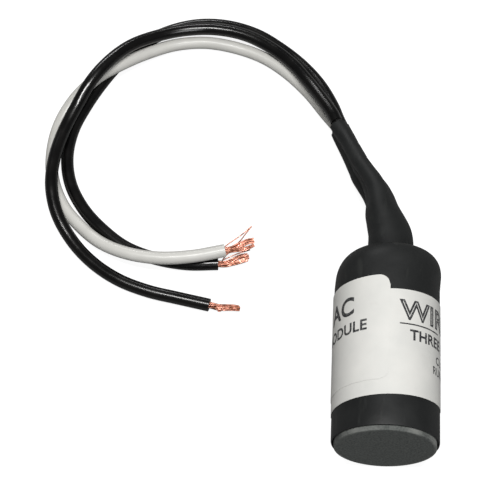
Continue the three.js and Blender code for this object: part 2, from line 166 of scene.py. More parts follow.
class Bench:
    """Blender's modelling tools, used one step at a time on one piece."""

    @staticmethod
    def clear() -> None:
        """Leaves edit mode and selects nothing."""
        if bpy.context.object and bpy.context.object.mode != "OBJECT":
            bpy.ops.object.mode_set(mode="OBJECT")
        bpy.ops.object.select_all(action="DESELECT")

    @staticmethod
    def take(piece: bpy.types.Object) -> None:
        """Selects one piece alone and makes it active.

        Args:
            piece: The piece.
        """
        Bench.clear()
        piece.select_set(True)
        bpy.context.view_layer.objects.active = piece

    @staticmethod
    def edit(piece: bpy.types.Object, mode: str = "VERT") -> None:
        """Takes a piece into edit mode with everything on it deselected.

        Args:
            piece: The piece to edit.
            mode: What is selected there: VERT, EDGE or FACE.
        """
        Bench.take(piece)
        bpy.ops.object.mode_set(mode="EDIT")
        bpy.ops.mesh.select_mode(type=mode)
        bpy.ops.mesh.select_all(action="DESELECT")

    @staticmethod
    def pick_faces(piece: bpy.types.Object, test: Callable[[bmesh.types.BMFace], bool]) -> None:
        """Selects, in edit mode, the faces that pass a test and no others.

        Args:
            piece: The piece in edit mode.
            test: True for a face to select.
        """
        mesh = bmesh.from_edit_mesh(piece.data)
        for face in mesh.faces:
            face.select_set(test(face))
        bmesh.update_edit_mesh(piece.data)

    @staticmethod
    def pick_edges(piece: bpy.types.Object, test: Callable[[bmesh.types.BMEdge], bool]) -> None:
        """Selects, in edit mode, the edges that pass a test and no others.

        Args:
            piece: The piece in edit mode.
            test: True for an edge to select.
        """
        mesh = bmesh.from_edit_mesh(piece.data)
        for edge in mesh.edges:
            edge.select_set(test(edge))
        bmesh.update_edit_mesh(piece.data)

    @staticmethod
    def settle(piece: bpy.types.Object) -> None:
        """Applies a piece's place, turn and scale to its mesh."""
        Bench.take(piece)
        bpy.ops.object.transform_apply(location=True, rotation=True, scale=True)

    @staticmethod
    def finish(piece: bpy.types.Object, name: str, material: bpy.types.Material, angle: float = 40.0) -> None:
        """Names, shades and dresses a finished mesh, and lets it ride on the part.

        Args:
            piece: The piece.
            name: Its name.
            material: Its finish.
            angle: Edges sharper than this, in degrees, stay sharp.
        """
        piece.name = name
        piece.data.name = name
        Bench.take(piece)
        bpy.ops.object.shade_smooth_by_angle(angle=math.radians(angle))
        piece.data.materials.clear()
        piece.data.materials.append(material)
        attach(piece, "root")
        LOG.info("%s: %d faces", name, len(piece.data.polygons))

    @staticmethod
    def apply(piece: bpy.types.Object) -> None:
        """Applies every modifier on a piece, in order.

        Args:
            piece: The piece.
        """
        Bench.take(piece)
        for modifier in list(piece.modifiers):
            bpy.ops.object.modifier_apply(modifier=modifier.name)


@dataclass(frozen=True)
class BodyFrame:
    """Where the body's axis and base lie in the part's frame, in metres."""

    axis_x: float
    base_y: float
    axis_z: float

    @classmethod
    def read(cls) -> "BodyFrame":
        """Takes the frame from the disc that closes the body's base."""
        low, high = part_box("base_disc")
        return cls((low.x + high.x) / 2, low.y, (low.z + high.z) / 2)

    def at(self, x: float, y: float, z: float) -> Vector:
        """A point from millimetres off the axis line, off the base and off the floor."""
        return Vector((self.axis_x + x * MM, self.base_y + y * MM, z * MM))

    def around(self, turn: float, radius: float, y: float) -> Vector:
        """A point at a turn in radians from the top towards +X, a radius and a y off the base, in mm."""
        return Vector((
            self.axis_x + radius * MM * math.sin(turn),
            self.base_y + y * MM,
            self.axis_z + radius * MM * math.cos(turn),
        ))


# ---------------------------------------------------------------- finishes


class Graph:
    """A node tree under construction, with short calls for what is used most."""

    # Which of a Mix node's inputs are its factor and its two colours.
    COLOUR_MIX_INPUTS = (0, 6, 7)

    def __init__(self, tree: bpy.types.NodeTree) -> None:
        """Starts on an empty tree."""
        self.tree = tree

    def node(self, kind: str, **values: object) -> bpy.types.Node:
        """Adds a node.

        Args:
            kind: The node's type name without its ShaderNode prefix.
            values: Properties of the node, set by name.

        Returns:
            The new node.
        """
        prefix = "" if kind.startswith("Node") else "ShaderNode"
        made = self.tree.nodes.new(prefix + kind)
        for key, value in values.items():
            setattr(made, key, value)
        return made

    def put(self, socket: bpy.types.NodeSocket, value: object) -> None:
        """Links or sets one input.

        Args:
            socket: The input.
            value: A socket to link, or a value to set. A colour of three numbers is made opaque.
        """
        if isinstance(value, bpy.types.NodeSocket):
            self.tree.links.new(value, socket)
        elif socket.type == "RGBA" and len(value) == 3:
            socket.default_value = (*value, 1.0)
        else:
            socket.default_value = value

    def feed(self, node: bpy.types.Node, **inputs: object) -> bpy.types.Node:
        """Sets or links a node's inputs, with each _ in a name read as a space.

        Args:
            node: The node.
            inputs: A socket links, and anything else is set as the value.

        Returns:
            The same node.
        """
        for key, value in inputs.items():
            self.put(node.inputs[key.replace("_", " ")], value)
        return node

    def math(
        self, operation: str, first: object, second: object = 0.0, clamp: bool = False
    ) -> bpy.types.NodeSocket:
        """A Math node's result.

        Args:
            operation: The Math node's operation.
            first: Its first input, a socket or a number.
            second: Its second input.
            clamp: Whether the result is held between 0 and 1.

        Returns:
            The result's socket.
        """
        made = self.node("Math", operation=operation, use_clamp=clamp)
        for socket, value in zip(made.inputs, (first, second)):
            self.put(socket, value)
        return made.outputs[0]

    def mix(self, factor: object, first: object, second: object) -> bpy.types.NodeSocket:
        """A colour mixed from two.

        Args:
            factor: Share of the second, a socket or a number.
            first: A colour or its socket.
            second: A colour or its socket.

        Returns:
            The mixed colour's socket.
        """
        made = self.node("Mix", data_type="RGBA")
        for index, value in zip(self.COLOUR_MIX_INPUTS, (factor, first, second)):
            self.put(made.inputs[index], value)
        return made.outputs[2]

    def span(
        self, value: object, low: float, high: float, to_low: float = 0.0, to_high: float = 1.0
    ) -> bpy.types.NodeSocket:
        """A value mapped from one span to another and held there.

        Args:
            value: The socket to map.
            low: Start of the span it comes from.
            high: End of that span.
            to_low: What low becomes.
            to_high: What high becomes.

        Returns:
            The mapped value's socket.
        """
        made = self.node("MapRange", interpolation_type="SMOOTHSTEP")
        self.feed(made, Value=value, From_Min=low, From_Max=high, To_Min=to_low, To_Max=to_high)
        return made.outputs[0]

    def noise(self, vector: bpy.types.NodeSocket, scale: object, detail: float = 2.0) -> bpy.types.NodeSocket:
        """A noise pattern's value.

        Args:
            vector: The coordinates it reads.
            scale: Its scale, in turns for each metre.
            detail: Its number of octaves.

        Returns:
            The value's socket.
        """
        made = self.node("TexNoise")
        self.feed(made, Vector=vector, Scale=scale, Detail=detail)
        return made.outputs["Fac"]


class SharedEffects:
    """Node groups that more than one finish uses, each made once."""

    def __init__(self) -> None:
        """Builds the groups."""
        self.grain = self._grain()
        self.mottle = self._mottle()
        self.scuffs = self._scuffs()

    @staticmethod
    def _start(
        name: str, numbers: dict[str, float], colours: Iterable[str], outputs: dict[str, str]
    ) -> tuple[bpy.types.NodeTree, Graph, bpy.types.Node, bpy.types.Node]:
        """Makes an empty group with its sockets.

        Args:
            name: The group's name.
            numbers: Number inputs and their first values.
            colours: Names of colour inputs.
            outputs: Output names and their kinds, Float, Color or Vector.

        Returns:
            The group's tree, its graph, its input node and its output node.
        """
        tree = bpy.data.node_groups.new(name, "ShaderNodeTree")
        tree.interface.new_socket("Vector", in_out="INPUT", socket_type="NodeSocketVector")
        for key, value in numbers.items():
            made = tree.interface.new_socket(key, in_out="INPUT", socket_type="NodeSocketFloat")
            made.default_value = value
        for key in colours:
            tree.interface.new_socket(key, in_out="INPUT", socket_type="NodeSocketColor")
        for key, kind in outputs.items():
            tree.interface.new_socket(key, in_out="OUTPUT", socket_type="NodeSocket" + kind)
        graph = Graph(tree)
        return tree, graph, graph.node("NodeGroupInput"), graph.node("NodeGroupOutput")

    def _grain(self) -> bpy.types.NodeTree:
        """Fine surface grain: a height made of two sizes of noise.

        Returns:
            The node group.
        """
        tree, graph, given, out = self._start(
            "fine_grain", {"Scale": 1000.0, "Coarse Share": 0.4}, (), {"Height": "Float"}
        )
        fine = graph.noise(given.outputs["Vector"], given.outputs["Scale"], 3.0)
        coarse = graph.math("MULTIPLY", given.outputs["Scale"], 0.23)
        wide = graph.noise(given.outputs["Vector"], coarse, 2.0)
        share = graph.math("MULTIPLY", wide, given.outputs["Coarse Share"])
        tree.links.new(graph.math("ADD", fine, share), out.inputs["Height"])
        return tree

    def _mottle(self) -> bpy.types.NodeTree:
        """Cloudy variation between two colours, with its mask.

        Returns:
            The node group.
        """
        tree, graph, given, out = self._start(
            "cloudy_mottle",
            {"Scale": 120.0, "Contrast": 0.5},
            ("Base", "Other"),
            {"Color": "Color", "Mask": "Float"},
        )
        cloud = graph.noise(given.outputs["Vector"], given.outputs["Scale"], 4.0)
        centred = graph.math("SUBTRACT", cloud, 0.5)
        strong = graph.math("MULTIPLY", centred, graph.math("MULTIPLY", given.outputs["Contrast"], 4.0))
        mask = graph.math("ADD", strong, 0.5, clamp=True)
        tree.links.new(graph.mix(mask, given.outputs["Base"], given.outputs["Other"]), out.inputs["Color"])
        tree.links.new(mask, out.inputs["Mask"])
        return tree

    def _scuffs(self) -> bpy.types.NodeTree:
        """Sparse rubbed marks, drawn out along one direction by the caller's coordinates.

        Returns:
            The node group.
        """
        tree, graph, given, out = self._start(
            "sparse_scuffs", {"Scale": 200.0, "Cover": 0.2}, (), {"Mask": "Float"}
        )
        patches = graph.noise(given.outputs["Vector"], given.outputs["Scale"], 5.0)
        edge = graph.math("SUBTRACT", 0.75, graph.math("MULTIPLY", given.outputs["Cover"], 0.5))
        ridge = graph.math("SUBTRACT", patches, edge)
        tree.links.new(graph.math("MULTIPLY", ridge, 8.0, clamp=True), out.inputs["Mask"])
        return tree


class Finish:
    """A material under construction: its Principled shader and the calls that feed it."""

    def __init__(self, name: str, effects: SharedEffects) -> None:
        """Makes a material whose only nodes are its output, shader and coordinates.

        Args:
            name: The material's name.
            effects: The shared node groups.
        """
        self.material = bpy.data.materials.new(name)
        self.material.use_nodes = True
        self.material.node_tree.nodes.clear()
        self.graph = Graph(self.material.node_tree)
        self.effects = effects
        self.shader = self.graph.node("BsdfPrincipled")
        output = self.graph.node("OutputMaterial")
        self.graph.tree.links.new(self.shader.outputs[0], output.inputs[0])
        self.place = self.graph.node("TexCoord").outputs["Object"]

    def stretched(self, scale: Point, centre: Point = (0.0, 0.0, 0.0)) -> bpy.types.NodeSocket:
        """Coordinates moved to a centre and scaled on each axis.

        Args:
            scale: Factors on the three axes.
            centre: The point in metres that becomes the origin.

        Returns:
            The new coordinates' socket.
        """
        shifted = self.graph.node("VectorMath", operation="SUBTRACT")
        self.graph.tree.links.new(self.place, shifted.inputs[0])
        shifted.inputs[1].default_value = centre
        scaled = self.graph.node("VectorMath", operation="MULTIPLY")
        self.graph.tree.links.new(shifted.outputs[0], scaled.inputs[0])
        scaled.inputs[1].default_value = scale
        return scaled.outputs[0]

    def effect(self, group: bpy.types.NodeTree, **inputs: object) -> bpy.types.Node:
        """Places a shared effect, on the piece's own coordinates unless told others.

        Args:
            group: The effect's node group.
            inputs: Its inputs.

        Returns:
            The group node.
        """
        made = self.graph.node("Group", node_tree=group)
        inputs.setdefault("Vector", self.place)
        return self.graph.feed(made, **inputs)

    def relief(self, *layers: tuple[object, float]) -> None:
        """Feeds the shader's normal from heights, each with its depth in metres.

        Args:
            layers: (height socket, depth) pairs, the broadest first.
        """
        normal = None
        for height, depth in layers:
            bump = self.graph.node("Bump")
            self.graph.feed(bump, Height=height, Distance=depth, Strength=1.0)
            if normal is not None:
                self.graph.tree.links.new(normal, bump.inputs["Normal"])
            normal = bump.outputs["Normal"]
        self.graph.tree.links.new(normal, self.shader.inputs["Normal"])

    def set(self, **inputs: object) -> None:
        """Sets or links the shader's inputs."""
        self.graph.feed(self.shader, **inputs)


@dataclass(frozen=True)
class SleeveFinish:
    """Black heat-shrunk tubing: matte, cool, faintly dusty, with long soft rub marks."""

    dark: Colour = (0.0095, 0.0102, 0.0105)
    light: Colour = (0.0165, 0.0175, 0.0175)
    paler_colour: Colour = (0.036, 0.038, 0.036)

    def make(self, effects: SharedEffects) -> bpy.types.Material:
        """Builds the material.

        Args:
            effects: The shared node groups.

        Returns:
            The material.
        """
        finish = Finish("shrunk_tubing", effects)
        mottle = finish.effect(
            effects.mottle, Scale=90.0, Contrast=0.55, Base=self.dark, Other=self.light
        )
        rub = finish.effect(
            effects.scuffs, Vector=finish.stretched((1.0, 0.22, 1.0)), Scale=420.0, Cover=0.32
        )
        colour = finish.graph.mix(
            finish.graph.math("MULTIPLY", rub.outputs["Mask"], 0.35), mottle.outputs["Color"], self.paler_colour
        )
        rough = finish.graph.span(mottle.outputs["Mask"], 0.0, 1.0, 0.44, 0.58)
        grain = finish.effect(effects.grain, Scale=2600.0, Coarse_Share=0.6)
        waves = finish.effect(effects.grain, Scale=260.0, Coarse_Share=0.8)
        finish.set(Base_Color=colour, Roughness=rough, Specular_IOR_Level=0.22)
        finish.relief((waves.outputs["Height"], 0.00009), (grain.outputs["Height"], 0.00002))
        return finish.material


@dataclass(frozen=True)
class LabelFinish:
    """Printed film: satin, faintly warm grey, with fine fibre and handling marks."""

    paper: Colour = (0.62, 0.615, 0.59)
    shade: Colour = (0.56, 0.56, 0.54)
    soiled: Colour = (0.42, 0.41, 0.385)

    def make(self, effects: SharedEffects) -> bpy.types.Material:
        """Builds the material.

        Args:
            effects: The shared node groups.

        Returns:
            The material.
        """
        finish = Finish("label_film", effects)
        mottle = finish.effect(
            effects.mottle, Scale=140.0, Contrast=0.5, Base=self.paper, Other=self.shade
        )
        marks = finish.effect(effects.scuffs, Scale=300.0, Cover=0.2)
        colour = finish.graph.mix(
            finish.graph.math("MULTIPLY", marks.outputs["Mask"], 0.12), mottle.outputs["Color"], self.soiled
        )
        grain = finish.effect(effects.grain, Scale=3200.0, Coarse_Share=0.7)
        waves = finish.effect(effects.grain, Scale=180.0, Coarse_Share=0.4)
        finish.set(Base_Color=colour, Roughness=0.5, Specular_IOR_Level=0.4)
        finish.relief((waves.outputs["Height"], 0.00005), (grain.outputs["Height"], 0.000008))
        return finish.material


@dataclass(frozen=True)
class InkFinish:
    """Thermal print: near black, a little broken where the film shows through."""

    solid: Colour = (0.018, 0.019, 0.021)
    broken: Colour = (0.16, 0.16, 0.158)

    def make(self, effects: SharedEffects) -> bpy.types.Material:
        """Builds the material.

        Args:
            effects: The shared node groups.

        Returns:
            The material.
        """
        finish = Finish("label_print", effects)
        specks = finish.effect(effects.scuffs, Scale=2600.0, Cover=0.45)
        colour = finish.graph.mix(specks.outputs["Mask"], self.solid, self.broken)
        grain = finish.effect(effects.grain, Scale=3200.0, Coarse_Share=0.7)
        finish.set(Base_Color=colour, Roughness=0.55)
        finish.relief((grain.outputs["Height"], 0.000006))
        return finish.material


@dataclass(frozen=True)
class BoardFinish:
    """Pressed grey board: coarse, dusty, with a pale rim band that is partly rubbed wear and partly a painted
    highlight on the eased edge.
    """

    centre: Point
    radius: float
    dark: Colour = (0.058, 0.063, 0.060)
    light: Colour = (0.105, 0.112, 0.107)
    # The rim band's colour: rubbed wear and a painted edge highlight.
    paler_colour: Colour = (0.20, 0.205, 0.195)
    # How far in from the rim the pale band of wear and painted highlight fades out, and where it is full, in
    # metres.
    wear_and_highlight_fade: float = 0.0011
    wear_and_highlight_full: float = 0.0003

    def make(self, effects: SharedEffects) -> bpy.types.Material:
        """Builds the material.

        Args:
            effects: The shared node groups.

        Returns:
            The material.
        """
        finish = Finish("pressed_board", effects)
        graph = finish.graph
        mottle = finish.effect(
            effects.mottle, Scale=1700.0, Contrast=0.8, Base=self.dark, Other=self.light
        )
        centred = finish.stretched((1.0, 0.0, 1.0), self.centre)
        length = graph.node("VectorMath", operation="LENGTH")
        graph.tree.links.new(centred, length.inputs[0])
        # Painted highlight and wear: a pale band round the rim, broken up by noise.
        rim = graph.span(length.outputs["Value"], self.radius - self.wear_and_highlight_fade, self.radius - self.wear_and_highlight_full)
        breakup = graph.noise(finish.place, 120.0, 6.0)
        breakup = graph.span(breakup, 0.35, 0.7)
        mask = graph.math("MULTIPLY", rim, breakup)
        colour = graph.mix(mask, mottle.outputs["Color"], self.paler_colour)
        grain = finish.effect(effects.grain, Scale=1500.0, Coarse_Share=0.9)
        pits = finish.effect(effects.grain, Scale=420.0, Coarse_Share=0.5)
        finish.set(Base_Color=colour, Roughness=0.88, Specular_IOR_Level=0.3)
        finish.relief((pits.outputs["Height"], 0.0001), (grain.outputs["Height"], 0.00008))
        return finish.material


@dataclass(frozen=True)
class InsulationFinish:
    """Extruded insulation: glossy, with a faint draw along its length."""

    name: str
    base: Colour
    other: Colour
    roughness: float
    coat: float

    def make(self, effects: SharedEffects) -> bpy.types.Material:
        """Builds the material.

        Args:
            effects: The shared node groups.

        Returns:
            The material.
        """
        finish = Finish(self.name, effects)
        mottle = finish.effect(
            effects.mottle, Scale=150.0, Contrast=0.6, Base=self.base, Other=self.other
        )
        rough = finish.graph.span(mottle.outputs["Mask"], 0.0, 1.0, self.roughness, self.roughness + 0.1)
        waves = finish.effect(effects.grain, Scale=320.0, Coarse_Share=0.9)
        grain = finish.effect(effects.grain, Scale=2400.0, Coarse_Share=0.5)
        finish.set(
            Base_Color=mottle.outputs["Color"], Roughness=rough, Coat_Weight=self.coat, Coat_Roughness=0.12
        )
        finish.relief((waves.outputs["Height"], 0.000025), (grain.outputs["Height"], 0.000002))
        return finish.material


@dataclass(frozen=True)
class MetalFinish:
    """Drawn or pressed metal: tarnish clouds, and a fine drawn grain."""

    name: str
    bright: Colour
    dull: Colour
    roughness: float = 0.3

    def make(self, effects: SharedEffects) -> bpy.types.Material:
        """Builds the material.

        Args:
            effects: The shared node groups.

        Returns:
            The material.
        """
        finish = Finish(self.name, effects)
        mottle = finish.effect(
            effects.mottle, Scale=700.0, Contrast=0.9, Base=self.bright, Other=self.dull
        )
        rough = finish.graph.span(mottle.outputs["Mask"], 0.0, 1.0, self.roughness, self.roughness + 0.2)
        grain = finish.effect(effects.grain, Scale=3000.0, Coarse_Share=0.6)
        finish.set(Base_Color=mottle.outputs["Color"], Roughness=rough, Metallic=1.0)
        finish.relief((grain.outputs["Height"], 0.00001))
        return finish.material


@dataclass(frozen=True)
class MouldedFinish:
    """Moulded, cast or pressed material inside the can: clouded, with its own grain."""

    name: str
    base: Colour
    other: Colour
    roughness: float
    grain: float = 900.0
    depth: float = 0.00003

    def make(self, effects: SharedEffects) -> bpy.types.Material:
        """Builds the material.

        Args:
            effects: The shared node groups.

        Returns:
            The material.
        """
        finish = Finish(self.name, effects)
        mottle = finish.effect(
            effects.mottle, Scale=260.0, Contrast=0.7, Base=self.base, Other=self.other
        )
        smooth, rough = self.roughness - 0.05, self.roughness + 0.08
        rough = finish.graph.span(mottle.outputs["Mask"], 0.0, 1.0, smooth, rough)
        grain = finish.effect(effects.grain, Scale=self.grain, Coarse_Share=0.7)
        finish.set(Base_Color=mottle.outputs["Color"], Roughness=rough)
        finish.relief((grain.outputs["Height"], self.depth))
        return finish.material


# ---------------------------------------------------------------- leads


def wire_curve(name: str, diameter: float, resolution: int) -> bpy.types.Curve:
    """An empty curve with a round section and closed ends.

    Args:
        name: The curve's name.
        diameter: Its thickness in mm.
        resolution: How finely its section is rounded.

    Returns:
        The curve.
    """
    curve = bpy.data.curves.new(name, "CURVE")
    curve.dimensions = "3D"
    curve.bevel_depth = diameter * MM / 2
    curve.bevel_resolution = resolution
    curve.use_fill_caps = True
    return curve


def lay_line(curve: bpy.types.Curve, points: Sequence[Vector], thin: float = 1.0) -> None:
    """Adds one line of wire to a curve.

    Args:
        curve: The curve.
        points: The wire's middle line, in metres.
        thin: Its thickness against the curve's own.
    """
    spline = curve.splines.new("POLY")
    spline.points.add(len(points) - 1)
    for made, point in zip(spline.points, points):
        made.co = (*point, 1.0)
        made.radius = thin
    spline.use_smooth = True


def wire_piece(curve: bpy.types.Curve, material: bpy.types.Material) -> bpy.types.Object:
    """Makes a piece of a curve, dresses it and lets it ride on the part.

    Args:
        curve: The finished curve.
        material: Its finish.

    Returns:
        The piece.
    """
    curve.materials.append(material)
    piece = bpy.data.objects.new(curve.name, curve)
    bpy.context.scene.collection.objects.link(piece)
    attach(piece, "root")
    return piece


@dataclass(frozen=True)
class NeckLine:
    """The neck's middle line and the column that the three leads stand in at its mouth. Sizes in mm."""

    body_length: float = 63.0
    axis_height: float = 16.3
    mouth_height: float = 7.3
    line: tuple[Point, ...] = (
        (0.9, 0, 0), (0.85, 3, 0), (0.6, 8, 0.02), (-0.6, 14, 0.08), (-3.2, 22, 0.2), (-6.8, 30, 0.42),
        (-10.3, 38, 0.68), (-13.4, 46, 0.92), (-15.9, 52, 1),
    )
    lead_pitch: float = 4.3
    closed_angle: float = 30.0
    open_angle: float = 74.0
    # Shares of the neck's length between which the leads open from a triangle into a column.
    opening: tuple[float, float] = (0.1, 0.5)
    # Degrees that the column leans to the left, by share of the neck's length.
    lean: tuple[tuple[float, float], ...] = (
        (0, 0), (0.3, 0), (0.5, -4), (0.65, -3), (0.8, 4), (0.92, 9), (1, 11),
    )

    def points(self) -> list[Vector]:
        """The middle line's points, in mm off the axis line, the base and the floor."""
        fall = self.axis_height - self.mouth_height
        return [
            Vector((x, y + self.body_length, self.axis_height - drop * fall)) for x, y, drop in self.line
        ]

    def column(self, share: float) -> dict[Side, tuple[float, float]]:
        """Where the leads run at one place along the neck.

        Args:
            share: The share of the neck's length.

        Returns:
            Each lead's place across and up from the middle line, in mm.
        """
        opened = smoothstep(*self.opening, share)
        opening = math.radians(self.closed_angle + (self.open_angle - self.closed_angle) * opened)
        half = self.lead_pitch * math.cos(opening) / 2
        step = self.lead_pitch * math.sin(opening)
        return {Side.LINE1: (half, 0.0), Side.LINE2: (-half, step), Side.NEUTRAL: (-half, -step)}

    def directions(self, along: Vector, share: float) -> tuple[Vector, Vector]:
        """Unit vectors across and up from the middle line, leaning over with the leads.

        Args:
            along: The line's direction.
            share: The share of the neck's length.

        Returns:
            The vectors across, to the right, and up.
        """
        across = along.cross(Vector((0, 0, 1))).normalized()
        up = across.cross(along).normalized()
        lean = math.radians(blend_along(self.lean, share))
        return across * math.cos(lean) + up * math.sin(lean), up * math.cos(lean) - across * math.sin(lean)


@dataclass
class Lead:
    """One flying lead: its insulated length and the strands at its stripped end. Sizes in mm."""

    side: Side
    route: tuple[Point, ...]
    strand_tip: Point
    insulation: str
    strand_seed: int
    twist: float
    diameter: float = 4.1
    start_depth: float = 2.0
    mouth_run: float = 1.5
    strand_diameter: float = 0.42
    steps: int = 8
    neck: NeckLine = field(default_factory=NeckLine)

    def points(self, body: BodyFrame) -> list[Vector]:
        """The middle line of the insulated length.

        Args:
            body: The body's frame.

        Returns:
            Its points in metres, from inside the sleeve to the stripped end.
        """
        line = self.neck.points()
        along = (line[-1] - line[-2]).normalized()
        across, up = self.neck.directions(along, 1.0)
        sideways, level = self.neck.column(1.0)[self.side]
        mouth = line[-1] + across * sideways + up * level
        given = [mouth - along * self.start_depth, mouth, mouth + along * self.mouth_run]
        given += [Vector((x, y + self.neck.body_length, z)) for x, y, z in self.route]
        return [body.at(*point) for point in smooth_path(given, self.steps)]

    def exit(self, body: BodyFrame) -> Vector:
        """Where the lead leaves the sleeve."""
        return self.points(body)[self.steps]

    def build(
        self, body: BodyFrame, material: bpy.types.Material, strands: list[bpy.types.Object]
    ) -> bpy.types.Object:
        """Args:
            body: The body's frame.
            material: The insulation's finish.
            strands: The pieces at its stripped end; not used.

        Returns:
            The lead's curve.
        """
        points = self.points(body)
        curve = wire_curve(f"{self.side.value}_lead_wire", self.diameter, 10)
        lay_line(curve, points)
        piece = wire_piece(curve, material)
        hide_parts(f"{self.side.value}_lead")
        tuple(self.exit(body))
        LOG.info("%s: %.1f mm", piece.name, path_length(points) / MM)
        return piece


@dataclass(frozen=True)
class StrandGroup:
    """Strands that lie together: how many, how wide at the group's ends, and how it bows. Sizes in mm."""

    count: int
    start_radius: float
    end_radius: float
    bow: Point = (0.0, 0.0, 0.0)
    tip: Point = (0.0, 0.0, 0.0)


# A lead's groups of strands, its loose strands and the solids that the loose strands replace.
StrandPlan = tuple[tuple[StrandGroup, ...], tuple[tuple[Point, ...], ...], tuple[str, ...]]


@dataclass
class StrandBundle:
    """The stripped strands of one lead, twisted together and a little loose towards the tip. Sizes in mm."""

    lead: Lead
    groups: tuple[StrandGroup, ...]
    loose: tuple[tuple[Point, ...], ...] = ()
    loose_nodes: tuple[str, ...] = ()
    flatten: float = 0.75
    # How deep inside the insulation the strands begin.
    rooted: float = 2.0
    # Shares of the bundle's run where its middle line bends, and the share of the bow at the first of them.
    bends: tuple[float, float] = (0.3, 0.7)
    first_bow: float = 0.5
    steps: int = 8
    # Radians from one strand to the next around the group, and how far each may stray from that.
    strand_turn: float = 2.4
    turn_play: float = 0.3
    # Spans that each strand's length and spread are drawn from, as shares.
    lengths: tuple[float, float] = (0.94, 1.0)
    spreads: tuple[float, float] = (0.75, 1.3)
    loose_steps: int = 6
    loose_thickness: float = 0.95

    def _lay(
        self,
        curve: bpy.types.Curve,
        group: StrandGroup,
        ends: tuple[Vector, Vector, Vector],
        random: Random,
    ) -> None:
        """Lays one group's strands.

        Args:
            curve: The curve that holds all strands.
            group: The group.
            ends: The insulation's end, the direction out of it, and the bundle's tip.
            random: Where the small differences come from.
        """
        start, out, tip = ends
        run = (tip - start).length
        bow = Vector(group.bow) * MM
        tip = tip + Vector(group.tip) * MM
        first, last = self.bends
        bend = [
            start - out * (self.rooted * MM),
            start,
            start + out * run * first + bow * self.first_bow,
            start.lerp(tip, last) + bow,
            tip,
        ]
        middle = smooth_path(bend, self.steps)
        for i in range(group.count):
            share = (i + 0.5) / group.count
            ring = math.sqrt(share)
            turn = i * self.strand_turn + random.uniform(-self.turn_play, self.turn_play)
            length = random.uniform(*self.lengths)
            spread = random.uniform(*self.spreads)
            points = []
            for k, point in enumerate(middle):
                t = k / (len(middle) - 1)
                if t > length:
                    break
                step = middle[min(k + 1, len(middle) - 1)] - middle[max(k - 1, 0)]
                across = step.cross(Vector((0, 0, 1))).normalized()
                up = across.cross(step).normalized()
                angle = turn + self.lead.twist * t
                growth = group.end_radius * spread - group.start_radius
                wide = ring * (group.start_radius + growth * t) * MM
                points.append(
                    point + across * (wide * math.cos(angle)) + up * (wide * self.flatten * math.sin(angle))
                )
            lay_line(curve, points)

    def build(self, body: BodyFrame, material: bpy.types.Material) -> bpy.types.Object:
        """Makes the bundle.

        Args:
            body: The body's frame.
            material: The copper's finish.

        Returns:
            The bundle's curve object.
        """
        lead = self.lead
        random = Random(lead.strand_seed)
        path = lead.points(body)
        tip = body.at(lead.strand_tip[0], lead.strand_tip[1] + lead.neck.body_length, lead.strand_tip[2])
        curve = wire_curve(f"{lead.side.value}_copper_strands", lead.strand_diameter, 2)
        for group in self.groups:
            self._lay(curve, group, (path[-1], (path[-1] - path[-2]).normalized(), tip), random)
        for route in self.loose:
            given = [body.at(x, y + lead.neck.body_length, z) for x, y, z in route]
            lay_line(curve, smooth_path(given, self.loose_steps), self.loose_thickness)
        piece = wire_piece(curve, material)
        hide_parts(f"{lead.side.value}_strands", *self.loose_nodes)
        LOG.info("%s: %d strands", piece.name, len(curve.splines))
        return piece


# ---------------------------------------------------------------- shrink sleeve


